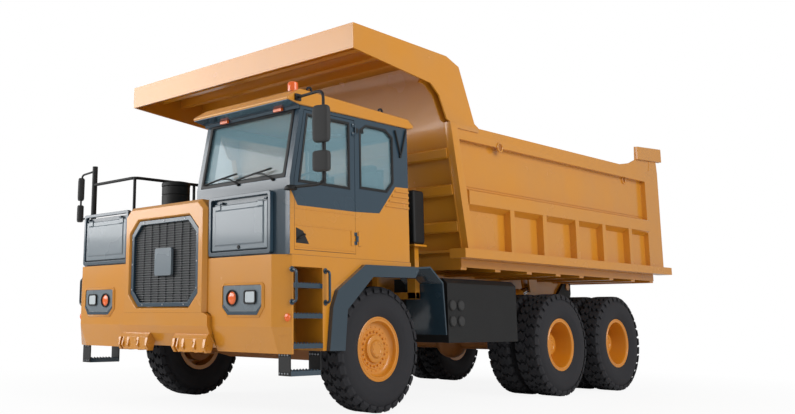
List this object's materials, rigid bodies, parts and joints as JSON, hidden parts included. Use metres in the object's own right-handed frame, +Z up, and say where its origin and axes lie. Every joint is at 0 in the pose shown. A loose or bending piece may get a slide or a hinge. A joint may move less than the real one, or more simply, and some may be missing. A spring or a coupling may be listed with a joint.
{
  "type": "mining dump truck",
  "caption": "Rigid off-road dumper with an offset cab, canopied tipping bed, top-hung tailgate, steered front wheels and twin-tyred tandem axles.",
  "frame": {"origin": "middle of the truck's footprint, on the ground", "axes": "+Z up, the truck faces -Y, its left (cab) side is +X"},
  "size_m": [4.8, 8.64, 4.188],
  "materials": {
    "yellow_paint": "gloss",
    "blue_grey_paint": "satin",
    "black_paint": "satin",
    "axle_orange": "satin",
    "tyre_rubber": "matt",
    "tinted_glass": "clear",
    "seat_fabric": "woven",
    "cab_plastic": "grained",
    "hoist_chrome": "polished"
  },
  "bodies": {
    "chassis": {"chassis_frame": "black_paint", "tip_bracket": "black_paint", "cab_stage": "black_paint", "engine": "black_paint", "drive_shaft": "black_paint", "front_axle": "axle_orange", "middle_axle": "axle_orange", "rear_axle": "axle_orange", "bogie_springs": "axle_orange", "front_bumper": "yellow_paint", "front_corner_left": "yellow_paint", "front_corner_right": "yellow_paint", "hood_surround": "yellow_paint", "grille": "black_paint", "fender_left": "blue_grey_paint", "fender_right": "blue_grey_paint", "deck": "yellow_paint", "deck_handrail": "black_paint", "air_cleaner": "black_paint", "cab_body": "blue_grey_paint", "cab_roof": "yellow_paint", "windscreen": "tinted_glass", "side_glass_left": "tinted_glass", "side_glass_right": "tinted_glass", "rear_glass": "tinted_glass", "cab_seats": "seat_fabric", "dashboard": "cab_plastic", "mirrors_left": "black_paint", "mirrors_right": "black_paint", "side_tank_left": "black_paint", "side_tank_right": "black_paint"},
    "knuckle_left": {"knuckle_left": "axle_orange"},
    "front_wheel_left": {"front_tyre_left": "tyre_rubber", "front_rim_left": "axle_orange"},
    "middle_wheels_left": {"middle_outer_tyre_left": "tyre_rubber", "middle_inner_tyre_left": "tyre_rubber", "middle_rim_left": "axle_orange"},
    "rear_wheels_left": {"rear_outer_tyre_left": "tyre_rubber", "rear_inner_tyre_left": "tyre_rubber", "rear_rim_left": "axle_orange"},
    "hatch_left": {"nose_hatch_left": "blue_grey_paint"},
    "hoist_barrel_left": {"hoist_barrel_left": "yellow_paint"},
    "hoist_rod_left": {"hoist_rod_left": "hoist_chrome"},
    "knuckle_right": {"knuckle_right": "axle_orange"},
    "front_wheel_right": {"front_tyre_right": "tyre_rubber", "front_rim_right": "axle_orange"},
    "middle_wheels_right": {"middle_outer_tyre_right": "tyre_rubber", "middle_inner_tyre_right": "tyre_rubber", "middle_rim_right": "axle_orange"},
    "rear_wheels_right": {"rear_outer_tyre_right": "tyre_rubber", "rear_inner_tyre_right": "tyre_rubber", "rear_rim_right": "axle_orange"},
    "hatch_right": {"nose_hatch_right": "blue_grey_paint"},
    "hoist_barrel_right": {"hoist_barrel_right": "yellow_paint"},
    "hoist_rod_right": {"hoist_rod_right": "hoist_chrome"},
    "tie_rod": {"tie_rod": "axle_orange"},
    "bed": {"dump_bed": "yellow_paint"},
    "tailgate": {"tailgate": "yellow_paint"},
    "cab_door": {"cab_door": "yellow_paint", "door_glass": "tinted_glass"}
  },
  "joints": [
    {"name": "steer_left", "type": "hinge", "parent": "chassis", "child": "knuckle_left", "pos_m": [1.25, -2.56, 0.685], "axis": [0, 0, 1], "range_deg": [-30, 30]},
    {"name": "steer_right", "type": "hinge", "parent": "chassis", "child": "knuckle_right", "pos_m": [-1.25, -2.56, 0.685], "axis": [0, 0, 1], "range_deg": [-30, 30]},
    {"name": "tie_rod_slide", "type": "slide", "parent": "chassis", "child": "tie_rod", "axis": [1, 0, 0], "range_m": [-0.17, 0.17]},
    {"name": "front_roll_left", "type": "hinge", "parent": "knuckle_left", "child": "front_wheel_left", "pos_m": [1.544, -2.56, 0.685], "axis": [1, 0, 0], "continuous": true},
    {"name": "front_roll_right", "type": "hinge", "parent": "knuckle_right", "child": "front_wheel_right", "pos_m": [-1.544, -2.56, 0.685], "axis": [1, 0, 0], "continuous": true},
    {"name": "middle_roll_left", "type": "hinge", "parent": "chassis", "child": "middle_wheels_left", "pos_m": [1.4315, 1.188, 0.685], "axis": [1, 0, 0], "continuous": true},
    {"name": "middle_roll_right", "type": "hinge", "parent": "chassis", "child": "middle_wheels_right", "pos_m": [-1.4315, 1.188, 0.685], "axis": [1, 0, 0], "continuous": true},
    {"name": "rear_roll_left", "type": "hinge", "parent": "chassis", "child": "rear_wheels_left", "pos_m": [1.4315, 2.828, 0.685], "axis": [1, 0, 0], "continuous": true},
    {"name": "rear_roll_right", "type": "hinge", "parent": "chassis", "child": "rear_wheels_right", "pos_m": [-1.4315, 2.828, 0.685], "axis": [1, 0, 0], "continuous": true},
    {"name": "bed_tip", "type": "hinge", "parent": "chassis", "child": "bed", "pos_m": [0, 3.74, 1.56], "axis": [-1, 0, 0], "range_deg": [0, 45]},
    {"name": "tailgate_swing", "type": "hinge", "parent": "bed", "child": "tailgate", "pos_m": [0, 4.03, 3.6], "axis": [1, 0, 0], "range_deg": [0, 60]},
    {"name": "hoist_lean_left", "type": "hinge", "parent": "chassis", "child": "hoist_barrel_left", "pos_m": [0.78, 0.44, 0.9], "axis": [1, 0, 0], "range_deg": [0, 20.2]},
    {"name": "hoist_slide_left", "type": "slide", "parent": "hoist_barrel_left", "child": "hoist_rod_left", "axis": [0, 0.943, 0.3328], "range_m": [0, 0.955]},
    {"name": "hoist_lean_right", "type": "hinge", "parent": "chassis", "child": "hoist_barrel_right", "pos_m": [-0.78, 0.44, 0.9], "axis": [1, 0, 0], "range_deg": [0, 20.2]},
    {"name": "hoist_slide_right", "type": "slide", "parent": "hoist_barrel_right", "child": "hoist_rod_right", "axis": [0, 0.943, 0.3328], "range_m": [0, 0.955]},
    {"name": "cab_door_swing", "type": "hinge", "parent": "chassis", "child": "cab_door", "pos_m": [1.897, -3.15, 2.44], "axis": [0, 0, 1], "range_deg": [0, 75]},
    {"name": "hatch_swing_left", "type": "hinge", "parent": "chassis", "child": "hatch_left", "pos_m": [1.232, -4.226, 2.214], "axis": [-1, 0, 0], "range_deg": [0, 85]},
    {"name": "hatch_swing_right", "type": "hinge", "parent": "chassis", "child": "hatch_right", "pos_m": [-1.232, -4.226, 2.214], "axis": [-1, 0, 0], "range_deg": [0, 85]}
  ],
  "couplings": [
    {"joint": "steer_right", "follows": "steer_left", "ratio": 1},
    {"joint": "tie_rod_slide", "follows": "steer_left", "m_per_rad": -0.315},
    {"joint": "hoist_lean_left", "follows": "bed_tip", "ratio": 0.44443},
    {"joint": "hoist_slide_left", "follows": "bed_tip", "m_per_rad": 1.21},
    {"joint": "hoist_lean_right", "follows": "bed_tip", "ratio": 0.44443},
    {"joint": "hoist_slide_right", "follows": "bed_tip", "m_per_rad": 1.21}
  ]
}
